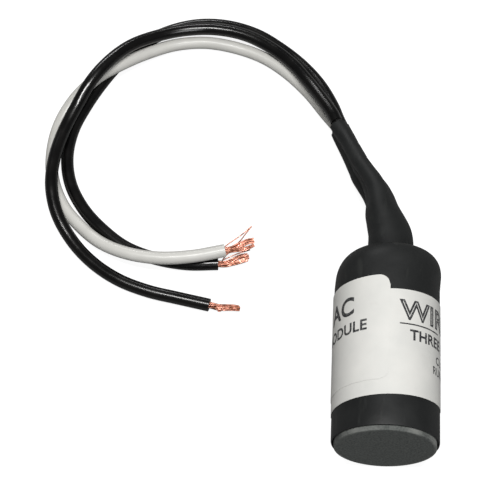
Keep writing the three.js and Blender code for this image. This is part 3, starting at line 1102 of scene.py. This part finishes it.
@dataclass
class ShrinkSleeve:
    """The tubing over the body, its shoulder and the neck down to the leads. Sizes in mm."""

    body: BodyFrame
    radius: float = 16.0
    wall: float = 0.45
    start: float = 1.3
    # How the cut end is rolled in, as (inset, distance from the cut) points.
    rolled_end: tuple[tuple[float, float], ...] = ((0.35, 0.0), (0.1, 0.12), (0.0, 0.5))
    shoulder_start: float = 54.2
    shoulder_centre: float = 9.9
    shoulder_rise: float = 7.8
    shoulder_power: float = 0.88
    # The hollow between the shoulder and the neck, as (radius, y) points.
    crease: tuple[tuple[float, float], ...] = ((9.4, 61.72), (8.75, 61.95), (8.2, 62.3), (7.75, 62.65))
    # How far the shoulder has set over to the right at its end, and where it begins to.
    shoulder_shift: float = 1.15
    shift_start: float = 50.0
    # How far before the crease's first point the neck's own place takes over from that shift.
    crease_ease: float = 0.4
    neck_radius: float = 7.1
    around: int = 144
    body_rings: int = 16
    shoulder_rings: int = 26
    neck_rings: int = 110
    line_steps: int = 24
    # Degrees between the directions tried for the taut skin, and how many to each side.
    hull_step: float = 2.5
    hull_reach: int = 34
    neck: NeckLine = field(default_factory=NeckLine)
    # How far the tubing has closed on the leads, by mm from the end of the shoulder.
    closing: tuple[tuple[float, float], ...] = (
        (0, 0.0), (5, 0.05), (9, 0.17), (13, 0.34), (17, 0.48), (21, 0.62), (25, 0.76), (28, 0.9),
        (31, 0.97), (35, 0.96), (38, 0.97), (41, 1.02), (47, 1.0), (52, 1.0),
    )
    # Sideways set of the tubing against the leads inside it, by mm from the end of the shoulder.
    sway: tuple[tuple[float, float], ...] = (
        (0, 0.05), (7, 0.1), (12, -0.45), (16, -0.7), (20, -0.15), (25, 0.15), (29, -0.05), (33, -0.3),
        (37, 0.05), (44, 0), (49, -0.3), (52, -0.35),
    )
    # How far it has sunk in between the leads, by mm from the end of the shoulder, and the least it keeps.
    webbing: tuple[tuple[float, float], ...] = (
        (0, 0.0), (14, 0.0), (20, 0.35), (26, 0.7), (36, 0.75), (46, 0.6), (52, 0.3),
    )
    least_reach: float = 0.55
    # How much shorter the mouth is cut at its top and at its bottom, and the share where that begins to tell.
    mouth_cut: tuple[float, float] = (3.7, 0.6)
    cut_from: float = 0.6
    lead_radius: float = 2.05
    lead_room: float = 0.05

    def _hull(self, places: Iterable[tuple[float, float]], reach: float, turn: float) -> float:
        """How far a skin pulled round circles lies from the middle.

        Args:
            places: The circles' middles, across and up.
            reach: Their radius with the skin's wall.
            turn: The direction, in radians.

        Returns:
            The distance in that direction.
        """
        best = math.inf
        for step in range(-self.hull_reach, self.hull_reach + 1):
            normal = turn + math.radians(step * self.hull_step)
            support = max(x * math.cos(normal) + z * math.sin(normal) for x, z in places) + reach
            best = min(best, support / math.cos(normal - turn))
        return best

    def _lobes(
        self, places: Iterable[tuple[float, float]], reach: float, turn: float, hull: float
    ) -> float:
        """How far the skin lies from the middle where it has sunk in between the leads.

        Args:
            places: The leads' middles, across and up.
            reach: Their radius with the skin's wall.
            turn: The direction, in radians.
            hull: The reach of a taut skin in that direction.

        Returns:
            The distance in that direction.
        """
        out = 0.0
        for x, z in places:
            along = x * math.cos(turn) + z * math.sin(turn)
            off = abs(-x * math.sin(turn) + z * math.cos(turn))
            if off < reach:
                out = max(out, along + math.sqrt(reach**2 - off**2))
        return min(max(out, hull * self.least_reach), hull)

    def _profile(self) -> list[tuple[float, float, bool]]:
        """The tubing's rings.

        Returns:
            (radius, y, whether on the neck) of each ring, from the cut end to the mouth.
        """
        rings = [(self.radius - inset, self.start + off, False) for inset, off in self.rolled_end]
        rolled = self.rolled_end[-1][1]
        straight = self.shoulder_start - self.start - rolled
        for i in range(1, self.body_rings + 1):
            rings.append((self.radius, self.start + rolled + straight * i / self.body_rings, False))
        for i in range(1, self.shoulder_rings + 1):
            turn = math.pi / 2 * i / self.shoulder_rings
            out = max(math.cos(turn), 0.0) ** self.shoulder_power
            up = math.sin(turn) ** self.shoulder_power
            radius = self.shoulder_centre + (self.radius - self.shoulder_centre) * out
            rings.append((radius, self.shoulder_start + self.shoulder_rise * up, False))
        rings += [(radius, y, False) for radius, y in self.crease]
        rings += [(0.0, i / self.neck_rings, True) for i in range(self.neck_rings + 1)]
        return rings

    def _place(self, ring: tuple[float, float, bool], turn: float, line: list[Vector]) -> Vector:
        """Where one vertex of a ring goes, in mm.

        Args:
            ring: The ring's entry in the profile.
            turn: The vertex's angle from the right towards the top, in radians.
            line: The neck's finely stepped middle line.

        Returns:
            The point, in mm off the axis line, the base and the floor.
        """
        radius, along, on_neck = ring
        if not on_neck:
            shift = self.shoulder_shift * smoothstep(self.shift_start, self.neck.body_length, along)
            taken_over = smoothstep(self.crease[0][1] - self.crease_ease, self.crease[-1][1], along)
            shift += (self.neck.line[0][0] - self.shoulder_shift) * taken_over
            height = self.neck.axis_height + radius * math.sin(turn)
            return Vector((shift + radius * math.cos(turn), along, height))
        high, low = self.mouth_cut
        cut = low + (high - low) * (0.5 + 0.5 * math.sin(turn))
        along *= 1.0 - cut / path_length(line) * smoothstep(self.cut_from, 1.0, along)
        exact = along * (len(line) - 1)
        index = min(int(exact), len(line) - 2)
        middle = line[index].lerp(line[index + 1], exact - index)
        ahead = (line[min(index + 2, len(line) - 1)] - line[max(index - 1, 0)]).normalized()
        across, up = self.neck.directions(ahead, along)
        run = middle.y - self.neck.body_length
        closed = blend_along(self.closing, run)
        places = list(self.neck.column(along).values())
        cover = self.lead_radius + self.lead_room + self.wall
        hull = self._hull(places, cover, turn)
        sunk = blend_along(self.webbing, run)
        skin = hull - (hull - self._lobes(places, cover, turn, hull)) * sunk
        reach = self.neck_radius * (1 - closed) + skin * closed
        middle = middle + Vector((blend_along(self.sway, run), 0, 0))
        return middle + across * (reach * math.cos(turn)) + up * (reach * math.sin(turn))

    def build(self, material: bpy.types.Material) -> bpy.types.Object:
        """Makes the sleeve.

        Args:
            material: The tubing's finish.

        Returns:
            The finished piece.
        """
        rings = self._profile()
        Bench.clear()
        bpy.ops.mesh.primitive_circle_add(
            vertices=self.around, radius=self.radius * MM, rotation=(math.pi / 2, 0, 0), location=(0, 0, 0)
        )
        piece = bpy.context.object
        Bench.settle(piece)
        Bench.edit(piece, "EDGE")
        bpy.ops.mesh.select_all(action="SELECT")
        for _ in rings[1:]:
            bpy.ops.mesh.extrude_region_move(TRANSFORM_OT_translate={"value": (0, MM, 0)})
        bpy.ops.object.mode_set(mode="OBJECT")
        line = smooth_path(self.neck.points(), self.line_steps)
        for vertex in piece.data.vertices:
            ring = rings[round(vertex.co.y / MM)]
            turn = math.atan2(vertex.co.z, vertex.co.x)
            vertex.co = self.body.at(*self._place(ring, turn, line))
        Bench.edit(piece, "FACE")
        bpy.ops.mesh.select_all(action="SELECT")
        bpy.ops.mesh.normals_make_consistent(inside=False)
        Bench.clear()
        wall = piece.modifiers.new("wall", "SOLIDIFY")
        wall.thickness = self.wall * MM
        wall.offset = -1.0
        Bench.apply(piece)
        Bench.finish(piece, "shrink_tubing", material)
        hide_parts("shrink_sleeve")
        return piece


# ---------------------------------------------------------------- label


@dataclass
class WrapLabel:
    """The printed strip wound round the sleeve, its free end over its start. Sizes in mm."""

    body: BodyFrame
    radius: float = 16.06
    thickness: float = 0.11
    gap: float = 0.03
    height: float = 33.5
    overlap: float = 30.0
    corner: float = 3.5
    bottom: float = 10.75
    rise: float = 4.7
    ramp: float = 0.35
    columns: int = 262
    rows: int = 40

    @property
    def wound(self) -> float:
        """The strip's length."""
        return 2 * math.pi * self.radius + self.overlap

    def on_strip(self, along: float, up: float, lift: float) -> Vector:
        """A point of the strip in the part's frame.

        Args:
            along: Distance from the strip's start.
            up: Distance from its lower edge.
            lift: Distance out from its inner face.

        Returns:
            The point, in metres.
        """
        turn = (along - self.overlap) / self.radius
        free_end = 2 * math.pi
        covered = free_end - self.overlap / self.radius
        climb = smoothstep(covered - self.ramp, covered, turn)
        radius = self.radius + lift + climb * (self.thickness + self.gap)
        y = self.bottom + up + self.rise * turn / (2 * math.pi)
        return self.body.around(turn, radius, y)

    def build(self, material: bpy.types.Material) -> bpy.types.Object:
        """Makes the strip.

        Args:
            material: The film's finish.

        Returns:
            The finished piece.
        """
        Bench.clear()
        bpy.ops.mesh.primitive_grid_add(x_subdivisions=self.columns, y_subdivisions=self.rows, size=1.0)
        piece = bpy.context.object
        for vertex in piece.data.vertices:
            along = (vertex.co.x + 0.5) * self.wound
            up = vertex.co.y + 0.5
            near = min(along, self.wound - along)
            inset = max(self.corner - near, 0.0)
            trim = self.corner - math.sqrt(max(self.corner**2 - inset**2, 0.0))
            vertex.co = self.on_strip(along, trim + up * (self.height - 2 * trim), 0.0)
        Bench.edit(piece, "FACE")
        bpy.ops.mesh.select_all(action="SELECT")
        bpy.ops.mesh.remove_doubles(threshold=1e-6)
        mesh = bmesh.from_edit_mesh(piece.data)
        mesh.faces.ensure_lookup_table()
        face = mesh.faces[0]
        centre = face.calc_center_median()
        outward = Vector((centre.x - self.body.axis_x, 0, centre.z - self.body.axis_z))
        if face.normal.dot(outward) < 0:
            bpy.ops.mesh.flip_normals()
        Bench.clear()
        film = piece.modifiers.new("film", "SOLIDIFY")
        film.thickness = self.thickness * MM
        film.offset = 1.0
        Bench.apply(piece)
        Bench.finish(piece, "label_strip", material)
        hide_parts("wrap_label")
        return piece


@dataclass(frozen=True)
class PrintLine:
    """One line of generic print: where its lower left corner is on the strip, and its height. Sizes in mm."""

    name: str
    words: str
    along: float
    up: float
    tall: float
    weight: float
    wide: float = 1.0
    outline: bool = False


@dataclass
class LabelPrint:
    """The generic print on the label."""

    label: WrapLabel
    lines: tuple[PrintLine, ...]
    ink: float = 0.012
    # Height of the capitals as a share of the typeface's size, and the letters' spacing.
    capital_share: float = 0.69
    spacing: float = 1.05
    # Share of an outline's own depth that it stands out by.
    outline_lift: float = 0.05
    column_pitch: float = 0.6

    def _letters(self, line: PrintLine) -> bpy.types.Object:
        """Makes one line's letters flat, at their size, with its lower left corner at the origin.

        Args:
            line: What to print.

        Returns:
            The letters as a mesh, in millimetres.
        """
        Bench.clear()
        bpy.ops.object.text_add(location=(0, 0, 0))
        text = bpy.context.object
        text.data.body = line.words
        text.data.size = line.tall / self.capital_share
        text.data.offset = 0.0 if line.outline else line.weight
        text.data.space_character = self.spacing
        if line.outline:
            text.data.fill_mode = "NONE"
            text.data.bevel_depth = line.weight
            text.data.bevel_resolution = 0
        bpy.ops.object.convert(target="MESH")
        piece = bpy.context.object
        piece.scale = (line.wide, 1.0, 1.0)
        Bench.settle(piece)
        return piece

    def _cut_fine(self, piece: bpy.types.Object, pitch: float) -> None:
        """Cuts letters into narrow columns, so that they can follow the body's round.

        Args:
            piece: The letters.
            pitch: The columns' width, in mm.
        """
        low = min(vertex.co.x for vertex in piece.data.vertices)
        high = max(vertex.co.x for vertex in piece.data.vertices)
        Bench.edit(piece, "FACE")
        for i in range(1, int((high - low) / pitch) + 1):
            bpy.ops.mesh.select_all(action="SELECT")
            bpy.ops.mesh.bisect(plane_co=(low + i * pitch, 0, 0), plane_no=(1, 0, 0))
        Bench.clear()

    def build(self, material: bpy.types.Material) -> list[bpy.types.Object]:
        """Prints every line.

        Args:
            material: The ink's finish.

        Returns:
            The printed pieces.
        """
        made = []
        for line in self.lines:
            piece = self._letters(line)
            self._cut_fine(piece, self.column_pitch)
            standing = self.outline_lift if line.outline else 0.0
            for vertex in piece.data.vertices:
                lift = self.label.thickness + self.ink + max(vertex.co.z, 0.0) * standing
                vertex.co = self.label.on_strip(line.along + vertex.co.x, line.up + vertex.co.y, lift)
            Bench.finish(piece, f"print_{line.name}", material)
            made.append(piece)
        return made


# ---------------------------------------------------------------- base


@dataclass
class BaseDisc:
    """The board disc that closes the base, its rim eased and its face a little proud. Sizes in mm."""

    body: BodyFrame
    radius: float = 15.15
    depth: float = 4.0
    ease: float = 0.28
    sides: int = 160
    # Widths of the rings of faces on its outer face, from the rim in.
    face_rings: tuple[float, ...] = (1.2, 3.0, 4.0, 3.5)
    sharp_angle: float = 35.0

    def build(self, material: bpy.types.Material) -> bpy.types.Object:
        """Makes the disc.

        Args:
            material: The board's finish.

        Returns:
            The finished piece.
        """
        Bench.clear()
        bpy.ops.mesh.primitive_cylinder_add(
            vertices=self.sides,
            radius=self.radius * MM,
            depth=self.depth * MM,
            location=self.body.around(0.0, 0.0, self.depth / 2),
            rotation=(math.pi / 2, 0, 0),
        )
        piece = bpy.context.object
        Bench.settle(piece)
        base_y = self.body.base_y
        Bench.edit(piece, "EDGE")
        Bench.pick_edges(piece, lambda edge: all(abs(v.co.y - base_y) < 1e-5 for v in edge.verts))
        bpy.ops.mesh.bevel(offset=self.ease * MM, segments=4, profile=0.5)
        bpy.ops.mesh.select_mode(type="FACE")
        Bench.pick_faces(piece, lambda face: face.normal.y < -0.99)
        for ring in self.face_rings:
            bpy.ops.mesh.inset(thickness=ring * MM)
        Bench.clear()
        Bench.finish(piece, "board_disc", material, self.sharp_angle)
        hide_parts("base_disc")
        return piece


# ---------------------------------------------------------------- what is inside


@dataclass
class Interior:
    """The pieces sealed in the can, which keep their own shapes and take real finishes."""

    frame: dict
    finishes: dict[str, bpy.types.Material]

    def dress(self) -> None:
        """Gives every remaining piece the finish of its material slot."""
        slots = {row["node"]: row["material_slot"] for row in self.frame["record"]["subparts"]}
        for name, node in sorted(self.frame["nodes"].items()):
            if node.hide_render:
                continue
            node.data.materials.clear()
            node.data.materials.append(self.finishes[slots[name]])
            LOG.info("%s: %s", name, slots[name])


# ---------------------------------------------------------------- studio


@dataclass
class Studio:
    """The floor, the lights and the camera."""

    body: BodyFrame
    # The point on the floor that the camera looks at, in mm from the axis line and the base.
    target: tuple[float, float] = (-42.73, 71.43)
    distance: float = 0.5862
    elevation: float = 63.22
    azimuth: float = -2.55
    # The camera's lens and the width of its sensor, in mm.
    lens: float = 132.6816
    sensor: float = 36.0
    # The floor is a pale backlit sheet: its own grey, and how brightly it shows through.
    floor_size: float = 6.0
    floor_grey: float = 0.22
    floor_glow: float = 0.9
    world_glow: float = 0.1
    # The point that the lamps face, in metres.
    lamp_aim: Point = (-0.03, 0.01, 0.01)

    def camera(self) -> bpy.types.Object:
        """Places the camera.

        Returns:
            The camera.
        """
        up, turn = math.radians(self.elevation), math.radians(self.azimuth)
        look = Vector((math.sin(turn) * math.cos(up), math.cos(turn) * math.cos(up), -math.sin(up)))
        target = self.body.at(self.target[0], self.target[1], 0.0)
        data = bpy.data.cameras.new("camera")
        data.sensor_width = self.sensor
        data.lens = self.lens
        data.clip_start = 0.01
        data.clip_end = 20.0
        camera = bpy.data.objects.new("camera", data)
        bpy.context.scene.collection.objects.link(camera)
        camera.location = target - look * self.distance
        camera.rotation_euler = look.to_track_quat("-Z", "Y").to_euler()
        bpy.context.scene.camera = camera
        return camera

    def floor(self) -> bpy.types.Object:
        """Lays the floor.

        Returns:
            The floor.
        """
        Bench.clear()
        bpy.ops.mesh.primitive_plane_add(size=self.floor_size, location=(0, 0, 0))
        floor = bpy.context.object
        floor.name = "floor"
        material = bpy.data.materials.new("studio_floor")
        material.use_nodes = True
        material.node_tree.nodes.clear()
        graph = Graph(material.node_tree)
        sheet = graph.feed(graph.node("BsdfDiffuse"), Color=grey(self.floor_grey))
        backlit = graph.feed(graph.node("Emission"), Color=grey(1.0), Strength=self.floor_glow)
        both = graph.node("AddShader")
        graph.tree.links.new(sheet.outputs[0], both.inputs[0])
        graph.tree.links.new(backlit.outputs[0], both.inputs[1])
        seen = graph.node("MixShader")
        graph.tree.links.new(graph.node("LightPath").outputs["Is Camera Ray"], seen.inputs[0])
        graph.tree.links.new(sheet.outputs[0], seen.inputs[1])
        graph.tree.links.new(both.outputs[0], seen.inputs[2])
        graph.tree.links.new(seen.outputs[0], graph.node("OutputMaterial").inputs[0])
        floor.data.materials.append(material)
        return floor

    def light(self, name: str, place: Point, size: tuple[float, float], power: float, tint: Colour) -> None:
        """Hangs one soft box that faces the object.

        Args:
            name: Its name.
            place: Where it hangs, in metres.
            size: Its width and height, in metres.
            power: Its power, in watts.
            tint: Its colour.
        """
        data = bpy.data.lights.new(name, "AREA")
        data.shape = "RECTANGLE"
        data.size, data.size_y = size
        data.energy = power
        data.color = tint
        lamp = bpy.data.objects.new(name, data)
        bpy.context.scene.collection.objects.link(lamp)
        lamp.location = place
        aim = Vector(self.lamp_aim) - Vector(place)
        lamp.rotation_euler = aim.to_track_quat("-Z", "Y").to_euler()

    def lights(self) -> None:
        """Lights the scene softly from all round."""
        world = bpy.data.worlds.new("studio_world")
        bpy.context.scene.world = world
        world.use_nodes = True
        back = world.node_tree.nodes["Background"]
        back.inputs["Color"].default_value = (1.0, 1.0, 1.0, 1.0)
        back.inputs["Strength"].default_value = self.world_glow
        self.light("key_strip", (-0.03, -0.14, 1.1), (0.62, 0.11), 11.5, (1.0, 0.995, 0.98))
        self.light("fill_box", (0.35, -0.75, 0.85), (0.5, 0.4), 4.6, (0.98, 0.99, 1.0))
        self.light("back_strip", (-0.3, 0.8, 0.5), (0.5, 0.08), 2.2, (1.0, 1.0, 1.0))

    def build(self) -> None:
        """Sets up everything but the camera."""
        self.floor()
        self.lights()
        scene = bpy.context.scene
        scene.view_settings.view_transform = "Standard"
        scene.view_settings.look = "None"


# ---------------------------------------------------------------- the object


def leads() -> list[Lead]:
    """The three flying leads, on the routes that their solids take.

    Returns:
        The leads, line 1, line 2 and neutral.
    """
    line1 = Lead(
        side=Side.LINE1,
        route=(
            (-18, 59.5, 6.2), (-22.5, 68.5, 4.6), (-28.5, 76.5, 3.1), (-35.5, 83, 2.3), (-44, 88.5, 2.2),
            (-54, 91.5, 2.2), (-64, 91.5, 2.2), (-73.5, 88.5, 2.2), (-82, 83, 2.2), (-89, 75.5, 2.2),
            (-94.5, 67, 2.2), (-99, 58, 2.2), (-102.5, 48.5, 2.2), (-103.5, 38.5, 2.2), (-101.5, 28.5, 2.2),
            (-96.5, 19.5, 2.2), (-90, 12.5, 2.2), (-82, 6.5, 2.2), (-72.5, 3, 2.2), (-62.5, 1.5, 2.2),
            (-52.5, 2, 2.2),
        ),
        strand_tip=(-42.5, 4.5, 2.8),
        insulation="black_insulation",
        strand_seed=11,
        twist=1.9,
    )
    line2 = Lead(
        side=Side.LINE2,
        route=(
            (-20.8, 58.5, 9.9), (-26, 67, 7.8), (-32, 75, 6.6), (-39.5, 81.5, 5.9), (-48, 86, 5.6),
            (-58, 88, 5.3), (-68, 87, 5.6), (-77, 83.5, 6.9), (-85, 78, 9.2), (-91.5, 70.5, 11.2),
            (-97, 62.5, 10.9), (-101.5, 54, 8.2), (-105, 45, 6.9), (-107, 35, 6.9), (-107, 25, 6.9),
            (-104.5, 16, 5.1), (-99, 7.5, 3), (-92, 0.5, 2.3), (-83.5, -5, 2.2), (-74, -8.5, 2.2),
            (-64.5, -10.5, 2.2), (-54.5, -12.5, 2.2),
        ),
        strand_tip=(-44.5, -13.2, 1.7),
        insulation="black_insulation",
        strand_seed=23,
        twist=2.4,
    )
    neutral = Lead(
        side=Side.NEUTRAL,
        route=(
            (-20, 58.5, 2.3), (-26, 66.5, 2.2), (-33.5, 74, 2.2), (-41.5, 79.5, 2.2), (-51, 83, 2.2),
            (-61, 84.5, 2.2), (-71, 83, 2.5), (-80, 78.5, 3.8), (-88, 72.5, 5.9), (-95.5, 66.5, 6.7),
            (-102.5, 59, 5), (-107, 50.5, 2.8), (-108.5, 40.5, 2.2), (-107.5, 30.5, 2.2), (-103.5, 21, 2.2),
            (-97, 13, 2.8), (-89.5, 6.5, 4.3), (-80.5, 2.5, 5.8), (-70.5, 1, 6.7), (-60.5, 2, 6.8),
            (-50.5, 4.5, 6.7),
        ),
        strand_tip=(-41, 7.2, 7.1),
        insulation="white_insulation",
        strand_seed=5,
        twist=0.9,
    )
    return [line1, line2, neutral]


def strand_plans() -> dict[Side, StrandPlan]:
    """How each lead's stripped strands lie.

    Returns:
        Each lead's plan.
    """
    return {
        Side.NEUTRAL: (
            (
                StrandGroup(11, 1.2, 0.85, (0.0, 0.5, 0.0), (0.0, 1.1, 0.1)),
                StrandGroup(8, 1.1, 0.42, (0.0, -0.8, 0.0), (0.0, -0.35, 0.0)),
            ),
            (
                ((-51.5, 4.4, 7.7), (-49.2, 6.2, 8.4), (-45.5, 8.8, 9.4), (-42.3, 11.6, 10.4)),
                ((-42.3, 11.6, 10.4), (-44.2, 9.3, 9.2), (-46.2, 7.0, 7.9), (-48.5, 5.6, 7.4)),
            ),
            ("neutral_stray_strand",),
        ),
        Side.LINE1: (
            (
                StrandGroup(12, 1.0, 1.15, (0.0, 0.2, 0.0), (0.0, 0.35, 0.0)),
                StrandGroup(7, 0.95, 0.7, (0.0, -0.5, 0.0), (-0.3, -0.7, 0.0)),
            ),
            (
                ((-51.2, 2.6, 3.7), (-46.5, 4.6, 4.6), (-42.6, 6, 4.9)),
                ((-51.4, 1.9, 3.9), (-50.2, 3.4, 5.2), (-49.0, 4.6, 5.4)),
            ),
            ("line1_stray_strand",),
        ),
        Side.LINE2: (
            (StrandGroup(17, 1.15, 0.85, (0.0, 0.15, 0.0), (0.0, 0.1, 0.0)),),
            (
                (
                    (-53.8, -12.9, 2.6), (-52.2, -14.1, 2.9), (-51.3, -14.6, 2.4), (-50.6, -14.2, 2.6),
                    (-50.0, -13.2, 2.9),
                ),
            ),
            (),
        ),
    }


def make_finishes(effects: SharedEffects, body: BodyFrame, disc: BaseDisc) -> dict[str, bpy.types.Material]:
    """Makes a finish for every material slot.

    Args:
        effects: The shared node groups.
        body: The body's frame.
        disc: The board disc, whose rim has a pale band of wear and painted highlight.

    Returns:
        The materials, by slot.
    """
    recipes = {
        "sleeve": SleeveFinish(),
        "label": LabelFinish(),
        "base_board": BoardFinish((body.axis_x, 0.0, body.axis_z), disc.radius * MM),
        "can": MouldedFinish("can_plastic", (0.02, 0.021, 0.022), (0.03, 0.031, 0.032), 0.5),
        "potting_resin": MouldedFinish("cast_resin", (0.045, 0.038, 0.032), (0.06, 0.05, 0.042), 0.3),
        "varistor_coat": MouldedFinish("dipped_coat", (0.03, 0.11, 0.38), (0.04, 0.14, 0.44), 0.35),
        "separator_paper": MouldedFinish("pressed_fibre", (0.26, 0.27, 0.25), (0.32, 0.33, 0.31), 0.85),
        "cutoff_case": MouldedFinish("glazed_case", (0.74, 0.69, 0.6), (0.8, 0.76, 0.67), 0.35),
        "tinned_copper": MetalFinish("tinned_wire", (0.62, 0.61, 0.59), (0.45, 0.44, 0.43)),
        "crimp_metal": MetalFinish("tinned_crimp", (0.66, 0.63, 0.56), (0.5, 0.48, 0.43)),
        "bare_copper": MetalFinish("copper_strand", (0.70, 0.34, 0.26), (0.26, 0.10, 0.06)),
        "black_insulation": InsulationFinish(
            "black_wire", (0.0018, 0.0018, 0.0020), (0.0036, 0.0033, 0.0030), 0.17, 0.0
        ),
        "white_insulation": InsulationFinish(
            "white_wire", (0.55, 0.545, 0.52), (0.50, 0.495, 0.47), 0.34, 0.1
        ),
    }
    return {slot: recipe.make(effects) for slot, recipe in recipes.items()}


def print_lines(label: WrapLabel) -> tuple[PrintLine, ...]:
    """The generic print, each line's place measured from the strip's start.

    Args:
        label: The strip that it is printed on.

    Returns:
        The lines.
    """
    seam = label.overlap
    turn = 2 * math.pi * label.radius
    return (
        PrintLine("heading", "WIRING", seam + 3.2, 24.0, 6.0, 0.3, 1.1, True),
        PrintLine("rule", "______", seam + 3.0, 22.9, 3.4, 0.1),
        PrintLine("kind", "THREE LEAD", seam + 6.1, 17.5, 3.2, 0.14),
        PrintLine("first_row", "CLOSE TO THE PANEL", seam + 17.0, 12.6, 2.4, 0.06),
        PrintLine("second_row", "RUN LEADS SHORT", seam + 15.1, 9.0, 2.4, 0.06),
        PrintLine("kind_end", "AC", seam + turn - 22.4, 22.4, 5.6, 0.2),
        PrintLine("word_end", "MODULE", seam + turn - 26.8, 16.3, 3.3, 0.13),
    )


def main() -> None:
    """Builds the camera and the leads, then the body, its finishes and the studio."""
    logging.basicConfig(level=logging.INFO, format="%(message)s")
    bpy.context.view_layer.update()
    body = BodyFrame.read()
    studio = Studio(body)
    studio.camera()

    effects = SharedEffects()
    disc = BaseDisc(body)
    finishes = make_finishes(effects, body, disc)
    plans = strand_plans()
    for lead in leads():
        strands = StrandBundle(lead, *plans[lead.side]).build(body, finishes["bare_copper"])
        lead.build(body, finishes[lead.insulation], [strands])

    ShrinkSleeve(body).build(finishes["sleeve"])
    label = WrapLabel(body)
    label.build(finishes["label"])
    ink = InkFinish().make(effects)
    LabelPrint(label, print_lines(label)).build(ink)
    disc.build(finishes["base_board"])
    Interior(frame, finishes).dress()
    studio.build()


if __name__ == "__main__":
    main()
